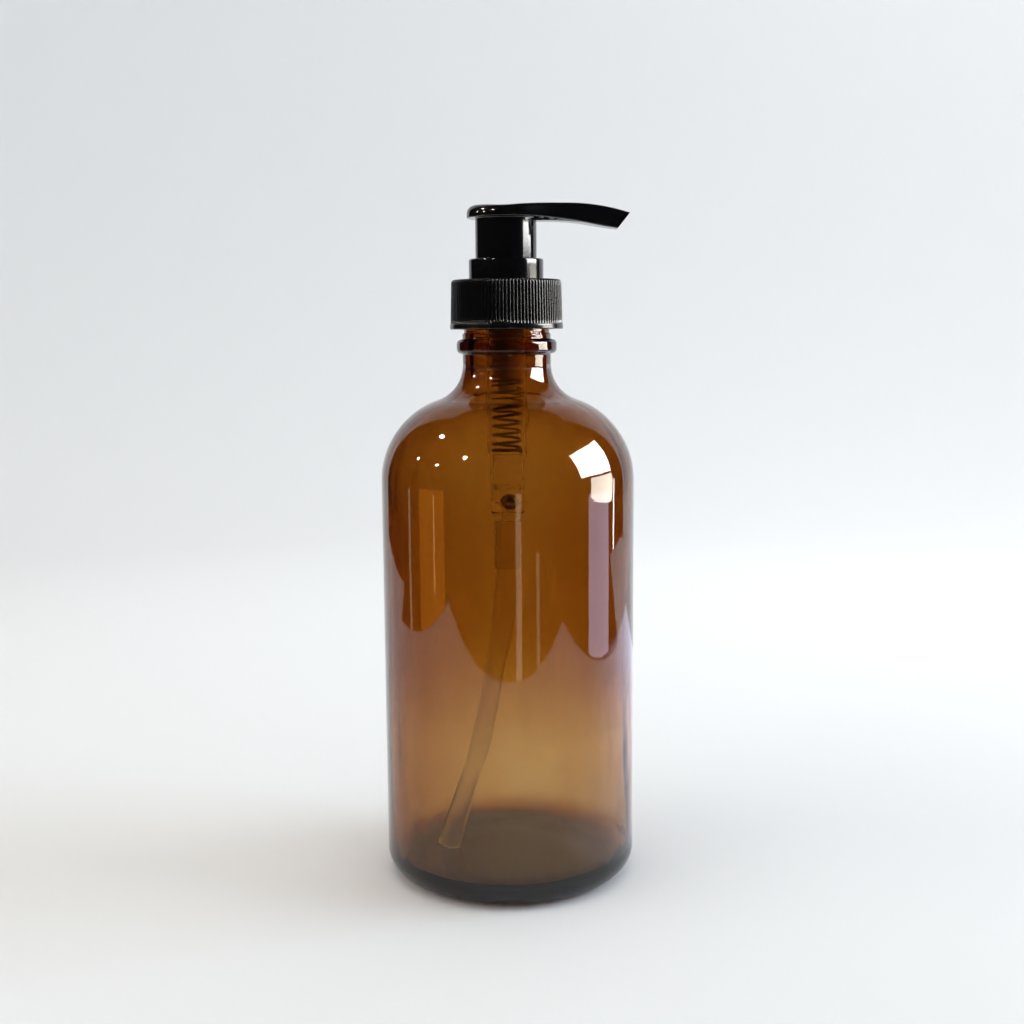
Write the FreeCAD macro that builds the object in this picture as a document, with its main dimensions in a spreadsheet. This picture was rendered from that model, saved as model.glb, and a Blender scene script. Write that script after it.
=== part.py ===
import FreeCAD, Part
import math
import os
import re
import Sketcher

# A refillable glass bottle with a screw-on soap pump, in millimetres.
# +Z is up along the bottle's axis, the spout points to +X, and the origin is the centre of the
# bottle's foot on the surface that it stands on. The pump is modelled at the top of its stroke.

Vector = FreeCAD.Vector

# Every driving dimension: alias, value, what it is. Radii and heights are from the bottle's axis
# and from the surface that it stands on, unless the note says otherwise.
DIMENSIONS = [
    # Bottle
    ("body_radius", 37.5, "outside of the straight wall"),
    ("glass_wall", 2.2, "thickness of the wall and of the shoulder"),
    ("heel_round", 7.5, "outside rounding between the wall and the foot"),
    ("foot_inner_radius", 27.6, "inner edge of the ring that the bottle stands on"),
    ("foot_recess", 1.6, "how far the middle of the base is pushed up"),
    ("floor_height", 4.8, "inside floor"),
    ("floor_round", 4.0, "inside rounding between the floor and the wall"),
    ("shoulder_corner", 137.06, "height where the wall would meet the shoulder's slope"),
    ("neck_corner", 145.49, "height where the neck would meet the shoulder's slope"),
    ("shoulder_round", 25.2, "outside rounding of the shoulder"),
    ("neck_round", 10.9, "outside rounding between the shoulder and the neck"),
    ("neck_radius", 13.0, "outside of the plain neck"),
    ("neck_bore", 10.4, "inside of the neck"),
    ("bead_bottom", 156.3, "lower edge of the ring round the neck"),
    ("bead_top", 160.6, "upper edge of the ring round the neck"),
    ("bead_radius", 14.73, "outside of the ring round the neck"),
    ("bead_round", 1.4, "rounding of the ring's edges"),
    ("finish_bottom", 162.2, "where the neck steps in to the threaded finish"),
    ("finish_radius", 12.55, "root of the glass thread"),
    ("neck_top", 173.2, "rim of the bottle"),
    ("rim_round", 0.8, "rounding of the rim"),
    # Screw thread of the neck and the closure
    ("thread_pitch", 4.233, "rise per turn, six turns to the inch"),
    ("thread_turns", 1.25, "turns of each ridge"),
    ("glass_thread_height", 165.6, "centre of the glass ridge where it starts"),
    ("glass_thread_crest", 13.7, "outside of the glass ridge"),
    ("glass_thread_foot", 2.4, "width of the glass ridge at its root"),
    ("glass_thread_tip", 1.0, "width of the glass ridge at its crest"),
    ("cap_thread_height", 165.4, "centre of the closure's ridge where it starts"),
    ("cap_thread_drop", 1.47, "how far the closure's ridge lies below the glass ridge"),
    ("cap_thread_crest", 13.05, "inside of the closure's ridge"),
    ("cap_thread_foot", 2.0, "width of the closure's ridge at its root"),
    ("cap_thread_tip", 0.9, "width of the closure's ridge at its crest"),
    # Closure
    ("cap_bottom", 163.4, "lower edge"),
    ("cap_top", 177.7, "upper face"),
    ("cap_radius_low", 16.4, "outside of the ribs at their lower end"),
    ("cap_radius_high", 16.1, "outside of the ribs at the top"),
    ("cap_band_radius", 16.62, "outside of the plain band under the ribs"),
    ("cap_band_height", 1.6, "height of the plain band"),
    ("cap_bore", 14.1, "inside of the skirt"),
    ("cap_plate", 1.3, "thickness of the top"),
    ("cap_hole", 11.1, "hole in the top for the chimney"),
    ("cap_round", 0.9, "rounding of the top edge"),
    ("rib_count", 100, "grip ribs round the skirt"),
    ("rib_depth", 0.4, "depth of the grooves between the ribs"),
    ("rib_groove", 0.56, "width of each groove at the ribs' outside"),
    # Gasket and the flanges that the closure clamps
    ("gasket_thickness", 1.0, "flat ring on the rim"),
    ("flange_radius", 13.0, "outside of the gasket and of the chaplet"),
    ("housing_flange", 1.2, "thickness of the housing's flange"),
    ("housing_flange_radius", 12.3, "outside of the housing's flange"),
    ("chaplet_flange", 1.0, "thickness of the chaplet's flange"),
    # Chaplet, the fixed collar that the hub slides in
    ("chimney_radius", 10.9, "outside of the chimney"),
    ("chimney_bore", 9.25, "inside of the chimney"),
    ("chimney_top", 183.7, "top of the chimney"),
    ("chimney_round", 0.6, "rounding of the chimney's top edge"),
    # Pump housing
    ("cup_radius", 10.1, "outside of the wide cup in the neck"),
    ("cup_bore", 9.4, "inside of the cup"),
    ("cup_bottom", 166.4, "underside of the cup"),
    ("cup_floor", 1.2, "thickness of the cup's floor"),
    ("cylinder_radius", 6.0, "outside of the cylinder"),
    ("cylinder_bore", 5.2, "bore that the piston runs in"),
    ("cylinder_end", 126.3, "lower end of the cylinder's straight outside"),
    ("chamber_top", 124.0, "upper end of the valve chamber's straight outside"),
    ("spring_seat", 126.8, "step that the spring stands on"),
    ("chamber_radius", 4.8, "outside of the valve chamber"),
    ("chamber_bore", 4.0, "inside of the valve chamber"),
    ("chamber_bottom", 108.6, "underside of the valve chamber"),
    ("socket_radius", 3.6, "outside of the dip tube's socket"),
    ("socket_bottom", 92.6, "open end of the socket"),
    ("socket_depth", 14.0, "how far the tube goes into the socket"),
    ("inlet_radius", 1.4, "hole under the inlet ball"),
    ("vent_radius", 0.6, "air hole in the cylinder"),
    ("vent_height", 156.0, "centre of the air hole"),
    # Inlet valve
    ("ball_radius", 2.38, "steel ball"),
    ("ball_height", 112.0, "centre of the ball on its seat"),
    ("ball_gap", 0.03, "clearance between the ball and the seat"),
    ("ball_travel", 1.5, "how far the ball can lift"),
    ("cage_thickness", 1.4, "ring and cross that stop the ball"),
    ("cage_bar", 1.1, "width of the cross's bars"),
    # Dip tube
    ("tube_radius", 3.05, "outside"),
    ("tube_bore", 2.1, "inside"),
    ("tube_bend_height", 88.5, "height where the upper bend's runs meet"),
    ("tube_knee_x", -7.0, "where the lower bend's runs meet"),
    ("tube_knee_height", 46.0, "height where the lower bend's runs meet"),
    ("tube_end_x", -19.1, "centre of the cut end"),
    ("tube_end_height", 6.3, "height of the centre of the cut end"),
    ("tube_bend_round", 60.0, "radius of the upper bend"),
    ("tube_knee_round", 140.0, "radius of the lower bend"),
    # Stem guide, pressed into the housing's bore
    ("guide_bore", 3.56, "bore that the stem runs in"),
    ("guide_bottom", 161.0, "underside"),
    ("guide_flange_radius", 7.0, "flange on the cup's floor"),
    ("guide_flange", 1.0, "thickness of that flange"),
    ("guide_collar_radius", 6.6, "collar inside the hub"),
    ("guide_top", 171.6, "top of the collar"),
    ("lock_pitch", 4.0, "rise per turn of the lock lugs"),
    ("lock_turns", 0.2, "turns of each lock lug"),
    ("lock_lug", 0.6, "how far the lock lugs stand out"),
    ("lock_lug_width", 0.6, "height of each lug's section"),
    ("lock_lug_count", 2, "lock lugs round the collar, and inside the hub"),
    # Stem
    ("stem_radius", 3.5, "outside"),
    ("stem_bore", 2.2, "inside"),
    ("stem_bottom", 152.2, "lower end"),
    ("stem_top", 192.0, "upper end, in the actuator's boss"),
    ("stem_stop_radius", 4.4, "ring that stops the stem under the guide"),
    ("stem_stop_bottom", 159.9, "underside of that ring"),
    ("stem_stop", 1.0, "thickness of that ring"),
    # Piston
    ("piston_radius", 5.17, "sealing lips"),
    ("piston_waist", 4.5, "outside between the lips"),
    ("piston_bore", 3.56, "bore round the stem"),
    ("piston_bottom", 151.6, "lower end"),
    ("piston_top", 158.6, "upper end"),
    ("piston_lip", 1.2, "height of each lip"),
    ("piston_taper", 0.8, "height of the slope behind each lip"),
    # Valve rod
    ("rod_bottom", 143.0, "lower end of the pin inside the spring"),
    ("rod_pin_radius", 2.8, "pin inside the spring"),
    ("rod_head_bottom", 149.2, "face that the spring pushes on"),
    ("rod_head_radius", 4.6, "outside of the head"),
    ("rod_head_edge", 1.0, "height of the head's rim"),
    ("rod_seat_height", 151.5, "seat under the piston"),
    ("rod_seat_radius", 4.0, "outside of the seat"),
    ("rod_shank_radius", 2.15, "shank in the stem"),
    ("rod_top", 158.0, "upper end of the shank"),
    ("rod_flute", 0.9, "width of the flow slots along the shank"),
    ("rod_flute_depth", 1.2, "depth of the flow slots"),
    ("rod_flute_count", 3, "flow slots round the shank"),
    # Spring
    ("spring_radius", 4.2, "from the axis to the centre of the wire"),
    ("wire_radius", 0.45, "half the wire"),
    ("spring_gap", 0.08, "clearance at each end of the spring"),
    ("spring_pitch", 2.4, "rise per turn"),
    # Actuator
    ("hub_radius", 8.93, "outside of the skirt"),
    ("hub_bore", 7.7, "inside of the skirt"),
    ("hub_bottom", 180.2, "lower edge of the skirt"),
    ("hub_ceiling", 193.6, "underside of the actuator's top inside the skirt"),
    ("boss_radius", 4.9, "outside of the socket for the stem"),
    ("boss_bottom", 185.0, "lower end of that socket"),
    ("head_back", -11.36, "back edge of the thumb pad"),
    ("head_under", 195.5, "underside of the thumb pad"),
    ("pad_height", 199.25, "top of the thumb pad's back edge before it is rounded"),
    ("pad_round", 2.6, "rounding of that edge"),
    ("dip_x", -0.8, "corner of the hollow behind the spout"),
    ("dip_height", 198.5, "height of that corner"),
    ("dip_round", 40.0, "rounding of the hollow"),
    ("rise_x", 10.97, "corner where the spout's top levels out"),
    ("crest_height", 199.5, "top of the spout's arch"),
    ("rise_round", 120.0, "rounding of that corner"),
    ("crest_x", 26.5, "corner where the arch turns down"),
    ("crest_round", 60.0, "rounding of the arch"),
    ("tip_top_x", 36.05, "upper corner of the spout's cut end"),
    ("tip_top_height", 196.73, "height of that corner"),
    ("tip_low_x", 32.35, "lower corner of the cut end"),
    ("tip_low_height", 192.1, "height of that corner"),
    ("belly_x", 17.5, "corner of the spout's underside"),
    ("belly_height", 194.7, "height of that corner"),
    ("belly_round", 60.0, "rounding of the underside"),
    ("root_height", 194.3, "underside of the spout at the hub"),
    ("pad_half_width", 11.3, "half the width of the thumb pad"),
    ("pad_side_x", 2.5, "where the pad's sides turn in to the spout"),
    ("pad_side_round", 11.0, "rounding of that corner"),
    ("spout_root_x", 14.0, "where the spout's own sides start"),
    ("spout_root_half_width", 5.6, "half the spout's width there"),
    ("spout_root_round", 16.0, "rounding of that corner"),
    ("spout_tip_half_width", 3.4, "half the spout's width at its end"),
    ("channel_radius", 1.6, "bore through the spout"),
    ("channel_root_height", 196.4, "centre of the bore over the stem"),
    ("channel_bend_x", 20.0, "where the bore turns down"),
    ("channel_bend_height", 197.1, "height of that corner"),
    ("channel_bend_round", 50.0, "rounding of the bore's bend"),
    ("channel_end_x", 36.6, "end of the bore's path, past the cut"),
    ("channel_end_height", 193.7, "height of that end"),
]
ALIASES = {alias for alias, value, note in DIMENSIONS}

# Derived heights and radii, as expressions of the driving dimensions
GASKET_TOP = "neck_top + gasket_thickness"
HOUSING_TOP = f"{GASKET_TOP} + housing_flange"
CHAPLET_SEAT = f"{HOUSING_TOP} + chaplet_flange"
CUP_FLOOR = "cup_bottom + cup_floor"
CAP_CEILING = "cap_top - cap_plate"
BAND_TOP = "cap_bottom + cap_band_height"
SOCKET_END = "socket_bottom + socket_depth"
CAGE_BOTTOM = "ball_height + ball_radius + ball_travel + 0.12"
SHOULDER_SLOPE = "(neck_corner - shoulder_corner) / (body_radius - neck_radius)"
SHOULDER_SHIFT = f"glass_wall * sqrt(1 + ({SHOULDER_SLOPE}) ^ 2)"
# The ball touches its 45 degree seat on a ring this far from the axis and below its centre.
BALL_RING = "(ball_radius + ball_gap) / sqrt(2)"
SEAT_SUM = f"ball_height - 2 * {BALL_RING}"

doc = FreeCAD.newDocument("soap_pump")
sheet = doc.addObject("Spreadsheet::Sheet", "Size")
for row, (alias, value, note) in enumerate(DIMENSIONS, start=1):
    sheet.set(f"A{row}", alias)
    sheet.set(f"B{row}", str(value))
    sheet.set(f"C{row}", note)
    sheet.setAlias(f"B{row}", alias)
doc.recompute()

subparts = []


def bound(expression):
    """The expression with each alias written as a cell of the sheet."""
    return re.sub(
        r"[a-z_]+",
        lambda word: f"Size.{word.group()}" if word.group() in ALIASES else word.group(),
        str(expression),
    )


def number(expression):
    """What an expression comes to with the sheet's present values."""
    return float(sheet.evalExpression(bound(expression)))


def bind(item, **expressions):
    """Binds properties of a document object to expressions of the sheet."""
    for name, expression in expressions.items():
        item.setExpression(name, bound(expression))


def new_body(label):
    body = doc.addObject("PartDesign::Body", label)
    body.Label = label
    body.Placement = FreeCAD.Placement()
    subparts.append(body)
    return body


def new_sketch(body, name, plane, height=None):
    """A sketch on one of the body's own origin planes, at a height above it where one is given."""
    sketch = body.newObject("Sketcher::SketchObject", name)
    origin_plane = next(item for item in body.Origin.OriginFeatures if item.Role == plane)
    sketch.AttachmentSupport = [(origin_plane, "")]
    sketch.MapMode = "FlatFace"
    if height is not None:
        sketch.setExpression(".AttachmentOffset.Base.z", bound(height))
        sketch.AttachmentOffset = FreeCAD.Placement(Vector(0, 0, number(height)), FreeCAD.Rotation())
    return sketch


def constrain(sketch, kind, *arguments):
    """A constraint whose last argument is an expression of the sheet."""
    index = sketch.addConstraint(Sketcher.Constraint(kind, *arguments[:-1], number(arguments[-1])))
    sketch.setExpression(f"Constraints[{index}]", bound(arguments[-1]))


def place(sketch, geometry, point, first, second):
    """Fixes a point of the sketch at a pair of expressions."""
    constrain(sketch, "DistanceX", geometry, point, first)
    constrain(sketch, "DistanceY", geometry, point, second)


def corner_round(before, corner, after, radius):
    """The start, middle and end of a rounded corner's arc."""
    towards = (before - corner).normalize()
    away = (after - corner).normalize()
    half_angle = towards.getAngle(away) / 2
    reach = radius / math.tan(half_angle)
    middle = corner + (towards + away).normalize() * (radius / math.sin(half_angle) - radius)
    return corner + towards * reach, middle, corner + away * reach


def turns_left(before, corner, after):
    return (corner - before).cross(after - corner).z > 0


def outline(sketch, corners, closed=True):
    """
    A line through corners given as (x, y) or (x, y, rounding), each an expression of the sheet.
    A rounded corner keeps its own point, on both of its lines, and an arc tangent to them.
    """
    points = [Vector(number(corner[0]), number(corner[1]), 0) for corner in corners]
    count = len(corners)
    neighbours = [(points[index - 1], points[index], points[(index + 1) % count]) for index in range(count)]
    arcs = {
        index: corner_round(*neighbours[index], number(corner[2]))
        for index, corner in enumerate(corners) if len(corner) == 3
    }
    lines = {}
    for index in range(count if closed else count - 1):
        following = (index + 1) % count
        start = arcs[index][2] if index in arcs else points[index]
        end = arcs[following][0] if following in arcs else points[following]
        lines[index] = sketch.addGeometry(Part.LineSegment(start, end))
    for index, corner in enumerate(corners):
        arriving = lines.get((index - 1) % count)
        leaving = lines.get(index)
        if index in arcs:
            # A sketch counts an arc's ends anticlockwise, so a right turn is drawn from its end.
            left = turns_left(*neighbours[index])
            drawn = arcs[index] if left else arcs[index][::-1]
            arc = sketch.addGeometry(Part.Arc(*drawn))
            first, last = (1, 2) if left else (2, 1)
            sketch.addConstraint(Sketcher.Constraint("Tangent", arriving, 2, arc, first))
            sketch.addConstraint(Sketcher.Constraint("Tangent", arc, last, leaving, 1))
            constrain(sketch, "Radius", arc, corner[2])
            point = sketch.addGeometry(Part.Point(points[index]), True)
            sketch.addConstraint(Sketcher.Constraint("PointOnObject", point, 1, arriving))
            sketch.addConstraint(Sketcher.Constraint("PointOnObject", point, 1, leaving))
            place(sketch, point, 1, corner[0], corner[1])
        elif leaving is None:
            place(sketch, arriving, 2, corner[0], corner[1])
        else:
            if arriving is not None:
                sketch.addConstraint(Sketcher.Constraint("Coincident", arriving, 2, leaving, 1))
            place(sketch, leaving, 1, corner[0], corner[1])
    return sketch


def circle(sketch, x, y, radius):
    """A circle whose centre and radius are expressions of the sheet."""
    centre = Vector(number(x), number(y), 0)
    ring = sketch.addGeometry(Part.Circle(centre, Vector(0, 0, 1), number(radius)))
    place(sketch, ring, 3, x, y)
    constrain(sketch, "Radius", ring, radius)


def lathe(body, name, corners):
    """Turns a closed outline of (radius, height) corners about Z."""
    sketch = outline(new_sketch(body, f"{name}_outline", "XZ_Plane"), corners)
    turned = body.newObject("PartDesign::Revolution", name)
    turned.Profile = sketch
    turned.ReferenceAxis = (sketch, ["V_Axis"])
    turned.Angle = 360
    return turned


def helix(body, name, sketch, pitch, height):
    """Sweeps a closed sketch round Z along a right-hand helix."""
    ridge = body.newObject("PartDesign::AdditiveHelix", name)
    ridge.Profile = sketch
    ridge.ReferenceAxis = (sketch, ["V_Axis"])
    ridge.Mode = "pitch-height-angle"
    bind(ridge, Pitch=pitch, Height=height)
    ridge.Pitch = number(pitch)
    ridge.Height = number(height)
    ridge.Angle = 0
    ridge.LeftHanded = False
    return ridge


def ridge_outline(sketch, root, crest, height, foot, tip):
    """The section of a thread ridge, from its root on a wall to its crest."""
    return outline(sketch, [
        (root, f"{height} - ({foot}) / 2"),
        (crest, f"{height} - ({tip}) / 2"),
        (crest, f"{height} + ({tip}) / 2"),
        (root, f"{height} + ({foot}) / 2"),
    ])


def turned_start(sketch, angle):
    """Turns a sketch on the XZ plane about Z, so that what it starts begins at that angle."""
    sketch.AttachmentOffset = FreeCAD.Placement(Vector(), FreeCAD.Rotation(Vector(0, 1, 0), number(angle)))
    sketch.setExpression(".AttachmentOffset.Rotation.Angle", bound(angle))


def around(body, name, feature, occurrences):
    """Repeats a feature evenly about Z."""
    pattern = body.newObject("PartDesign::PolarPattern", name)
    pattern.Originals = [feature]
    axis = next(item for item in body.Origin.OriginFeatures if item.Role == "Z_Axis")
    pattern.Axis = (axis, [""])
    pattern.Angle = 360
    pattern.Occurrences = int(number(occurrences))
    bind(pattern, Occurrences=occurrences)
    body.Tip = pattern
    return pattern


def build_bottle():
    """Round glass bottle with a pushed-up base, a domed shoulder and a threaded neck."""
    body = new_body("bottle")
    inner_wall = "body_radius - glass_wall"
    inner_shoulder = f"shoulder_corner + ({SHOULDER_SLOPE}) * glass_wall - {SHOULDER_SHIFT}"
    inner_neck = f"neck_corner + ({SHOULDER_SLOPE}) * (neck_radius - neck_bore) - {SHOULDER_SHIFT}"
    lathe(body, "glass", [
        (0, "foot_recess"),
        ("foot_inner_radius - 2.5", "foot_recess", 1.2),
        ("foot_inner_radius", 0, 1.2),
        ("body_radius", 0, "heel_round"),
        ("body_radius", "shoulder_corner", "shoulder_round"),
        ("neck_radius", "neck_corner", "neck_round"),
        ("neck_radius", "bead_bottom", 0.3),
        ("bead_radius", "bead_bottom", "bead_round"),
        ("bead_radius", "bead_top", "bead_round"),
        ("neck_radius", "bead_top", 0.3),
        ("neck_radius", "finish_bottom", 0.2),
        ("finish_radius", "finish_bottom"),
        ("finish_radius", "neck_top", "rim_round"),
        ("neck_bore", "neck_top", "rim_round"),
        ("neck_bore", inner_neck, "neck_round + glass_wall * 0.9"),
        (inner_wall, inner_shoulder, "shoulder_round - glass_wall"),
        (inner_wall, "floor_height", "floor_round"),
        (0, "floor_height"),
    ])
    section = new_sketch(body, "thread_section", "XZ_Plane")
    ridge_outline(section, "finish_radius - 0.2", "glass_thread_crest", "glass_thread_height",
                  "glass_thread_foot", "glass_thread_tip")
    helix(body, "thread", section, "thread_pitch", "thread_pitch * thread_turns")


def build_closure():
    """Ribbed screw cap with an internal thread and a hole for the chimney."""
    body = new_body("closure")
    lathe(body, "cap", [
        ("cap_bore", "cap_bottom"),
        ("cap_band_radius", "cap_bottom", 0.3),
        ("cap_band_radius", BAND_TOP, 0.15),
        ("cap_radius_low", BAND_TOP),
        ("cap_radius_high", "cap_top", "cap_round"),
        ("cap_hole", "cap_top"),
        ("cap_hole", CAP_CEILING),
        ("cap_bore", CAP_CEILING),
    ])
    section = new_sketch(body, "thread_section", "XZ_Plane")
    ridge_outline(section, "cap_bore + 0.2", "cap_thread_crest", "cap_thread_height",
                  "cap_thread_foot", "cap_thread_tip")
    turned_start(section, "360 * (cap_thread_height - glass_thread_height + cap_thread_drop) / thread_pitch")
    helix(body, "thread", section, "thread_pitch", "thread_pitch * thread_turns")
    doc.recompute()
    groove = new_sketch(body, "groove_section", "XY_Plane", BAND_TOP)
    bottom = "cap_radius_high - rib_depth"
    outline(groove, [
        (bottom, "-rib_groove / 4"),
        ("cap_radius_low + 1", "-rib_groove"),
        ("cap_radius_low + 1", "rib_groove"),
        (bottom, "rib_groove / 4"),
    ])
    cut = body.newObject("PartDesign::Pocket", "groove")
    cut.Profile = groove
    cut.Reversed = True
    bind(cut, Length="cap_top - cap_bottom")
    cut.Length = number("cap_top - cap_bottom")
    around(body, "grooves", cut, "rib_count")


def build_gasket():
    """Flat ring that seals the housing's flange on the bottle's rim."""
    body = new_body("neck_gasket")
    lathe(body, "ring", [
        ("cup_radius + 0.3", "neck_top"),
        ("flange_radius", "neck_top"),
        ("flange_radius", GASKET_TOP),
        ("cup_radius + 0.3", GASKET_TOP),
    ])


def build_chaplet():
    """Fixed collar under the closure: a flange that snaps round the housing's, and a chimney."""
    body = new_body("chaplet")
    lathe(body, "collar", [
        ("housing_flange_radius", GASKET_TOP),
        ("flange_radius", GASKET_TOP),
        ("flange_radius", CHAPLET_SEAT),
        ("chimney_radius", CHAPLET_SEAT),
        ("chimney_radius", "chimney_top", "chimney_round"),
        ("chimney_bore", "chimney_top", 0.3),
        ("chimney_bore", HOUSING_TOP),
        ("housing_flange_radius", HOUSING_TOP),
    ])


def build_housing():
    """Cup in the neck, cylinder, valve chamber with the ball's seat, and the dip tube's socket."""
    body = new_body("pump_housing")
    lathe(body, "shell", [
        ("tube_radius", "socket_bottom"),
        ("socket_radius", "socket_bottom"),
        ("socket_radius", "chamber_bottom"),
        ("chamber_radius", "chamber_bottom", 0.5),
        ("chamber_radius", "chamber_top"),
        ("cylinder_radius", "cylinder_end"),
        ("cylinder_radius", "cup_bottom"),
        ("cup_radius", "cup_bottom", 0.6),
        ("cup_radius", GASKET_TOP),
        ("housing_flange_radius", GASKET_TOP),
        ("housing_flange_radius", HOUSING_TOP),
        ("cup_bore", HOUSING_TOP),
        ("cup_bore", CUP_FLOOR),
        ("cylinder_bore", CUP_FLOOR),
        ("cylinder_bore", "spring_seat"),
        ("chamber_bore", "spring_seat"),
        ("chamber_bore", f"{SEAT_SUM} + chamber_bore"),
        ("inlet_radius", f"{SEAT_SUM} + inlet_radius"),
        ("inlet_radius", SOCKET_END),
        ("tube_radius", SOCKET_END),
    ])
    doc.recompute()
    section = new_sketch(body, "vent_section", "XZ_Plane")
    circle(section, 0, "vent_height", "vent_radius")
    vent = body.newObject("PartDesign::Pocket", "vent")
    vent.Profile = section
    vent.Length = number("cylinder_radius + 1")
    bind(vent, Length="cylinder_radius + 1")


def build_stem_guide():
    """Bush pressed into the housing, which guides the stem and carries the lock lugs."""
    body = new_body("stem_guide")
    flange_top = f"{CUP_FLOOR} + guide_flange"
    lathe(body, "bush", [
        ("guide_bore", "guide_bottom"),
        ("cylinder_bore", "guide_bottom", 0.4),
        ("cylinder_bore", CUP_FLOOR),
        ("guide_flange_radius", CUP_FLOOR),
        ("guide_flange_radius", flange_top),
        ("guide_collar_radius", flange_top),
        ("guide_collar_radius", "guide_top", 0.4),
        ("guide_bore", "guide_top"),
    ])
    section = new_sketch(body, "lug_section", "XZ_Plane")
    ridge_outline(section, "guide_collar_radius - 0.2", "guide_collar_radius + lock_lug",
                  f"{flange_top} + lock_lug_width / 2", "lock_lug_width", "lock_lug_width * 0.6")
    lug = helix(body, "lug", section, "lock_pitch", "lock_pitch * lock_turns")
    around(body, "lugs", lug, "lock_lug_count")


def build_cage():
    """Ring with a cross that keeps the inlet ball in its chamber."""
    body = new_body("ball_retainer")
    ring = new_sketch(body, "ring_section", "XY_Plane", CAGE_BOTTOM)
    circle(ring, 0, 0, "chamber_bore")
    circle(ring, 0, 0, "chamber_bore - 0.8")
    rim = body.newObject("PartDesign::Pad", "ring")
    rim.Profile = ring
    rim.Length = number("cage_thickness")
    bind(rim, Length="cage_thickness")
    for name, half_x, half_y in (
        ("bar_across", "chamber_bore - 0.4", "cage_bar / 2"),
        ("bar_along", "cage_bar / 2", "chamber_bore - 0.4"),
    ):
        section = new_sketch(body, f"{name}_section", "XY_Plane", CAGE_BOTTOM)
        outline(section, [
            (f"-({half_x})", f"-({half_y})"),
            (half_x, f"-({half_y})"),
            (half_x, half_y),
            (f"-({half_x})", half_y),
        ])
        bar = body.newObject("PartDesign::Pad", name)
        bar.Profile = section
        bar.Length = number("cage_thickness")
        bind(bar, Length="cage_thickness")


def build_ball():
    """Loose steel ball of the inlet valve."""
    ball = doc.addObject("Part::Sphere", "inlet_ball")
    ball.Label = "inlet_ball"
    ball.Placement = FreeCAD.Placement(Vector(0, 0, number("ball_height")), FreeCAD.Rotation())
    bind(ball, Radius="ball_radius")
    ball.setExpression(".Placement.Base.z", bound("ball_height"))
    subparts.append(ball)


def build_dip_tube():
    """Straight end in the socket, then two gentle bends towards the heel of the bottle."""
    body = new_body("dip_tube")
    path = outline(new_sketch(body, "tube_path", "XZ_Plane"), [
        (0, SOCKET_END),
        (0, "tube_bend_height", "tube_bend_round"),
        ("tube_knee_x", "tube_knee_height", "tube_knee_round"),
        ("tube_end_x", "tube_end_height"),
    ], closed=False)
    section = new_sketch(body, "tube_section", "XY_Plane", SOCKET_END)
    circle(section, 0, 0, "tube_radius")
    circle(section, 0, 0, "tube_bore")
    tube = body.newObject("PartDesign::AdditivePipe", "tube")
    tube.Profile = section
    tube.Spine = (path, [])


def build_spring():
    """Return spring between the housing's step and the valve rod's head."""
    body = new_body("return_spring")
    section = new_sketch(body, "wire_section", "XZ_Plane")
    circle(section, "spring_radius", "spring_seat + wire_radius + spring_gap", "wire_radius")
    rise = "rod_head_bottom - spring_seat - 2 * (wire_radius + spring_gap)"
    helix(body, "coils", section, "spring_pitch", rise)


def build_valve_rod():
    """Rod under the piston: pin in the spring, head, seat, and a fluted shank in the stem."""
    body = new_body("valve_rod")
    lathe(body, "rod", [
        (0, "rod_bottom"),
        ("rod_pin_radius", "rod_bottom", 0.8),
        ("rod_pin_radius", "rod_head_bottom"),
        ("rod_head_radius", "rod_head_bottom"),
        ("rod_head_radius", "rod_head_bottom + rod_head_edge"),
        ("rod_seat_radius", "rod_seat_height"),
        ("rod_shank_radius", "rod_seat_height"),
        ("rod_shank_radius", "rod_top"),
        (0, "rod_top"),
    ])
    doc.recompute()
    section = new_sketch(body, "flute_section", "XY_Plane", "rod_seat_height")
    outline(section, [
        ("rod_shank_radius - rod_flute_depth", "-rod_flute / 2"),
        ("rod_shank_radius + 0.5", "-rod_flute / 2"),
        ("rod_shank_radius + 0.5", "rod_flute / 2"),
        ("rod_shank_radius - rod_flute_depth", "rod_flute / 2"),
    ])
    flute = body.newObject("PartDesign::Pocket", "flute")
    flute.Profile = section
    flute.Reversed = True
    flute.Length = number("rod_top - rod_seat_height + 1")
    bind(flute, Length="rod_top - rod_seat_height + 1")
    around(body, "flutes", flute, "rod_flute_count")


def build_piston():
    """Double-lipped piston that floats on the stem between its stop ring and the rod's seat."""
    body = new_body("piston")
    lathe(body, "piston_ring", [
        ("piston_bore", "piston_bottom"),
        ("piston_radius", "piston_bottom"),
        ("piston_radius", "piston_bottom + piston_lip"),
        ("piston_waist", "piston_bottom + piston_lip + piston_taper"),
        ("piston_waist", "piston_top - piston_lip - piston_taper"),
        ("piston_radius", "piston_top - piston_lip"),
        ("piston_radius", "piston_top"),
        ("piston_bore", "piston_top"),
    ])


def build_stem():
    """Hollow stem that carries the soap from the piston up to the actuator."""
    body = new_body("stem")
    stop_top = "stem_stop_bottom + stem_stop"
    lathe(body, "stem_tube", [
        ("stem_bore", "stem_bottom"),
        ("stem_radius", "stem_bottom"),
        ("stem_radius", "stem_stop_bottom"),
        ("stem_stop_radius", "stem_stop_bottom"),
        ("stem_stop_radius", stop_top),
        ("stem_radius", stop_top),
        ("stem_radius", "stem_top"),
        ("stem_bore", "stem_top"),
    ])


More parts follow.
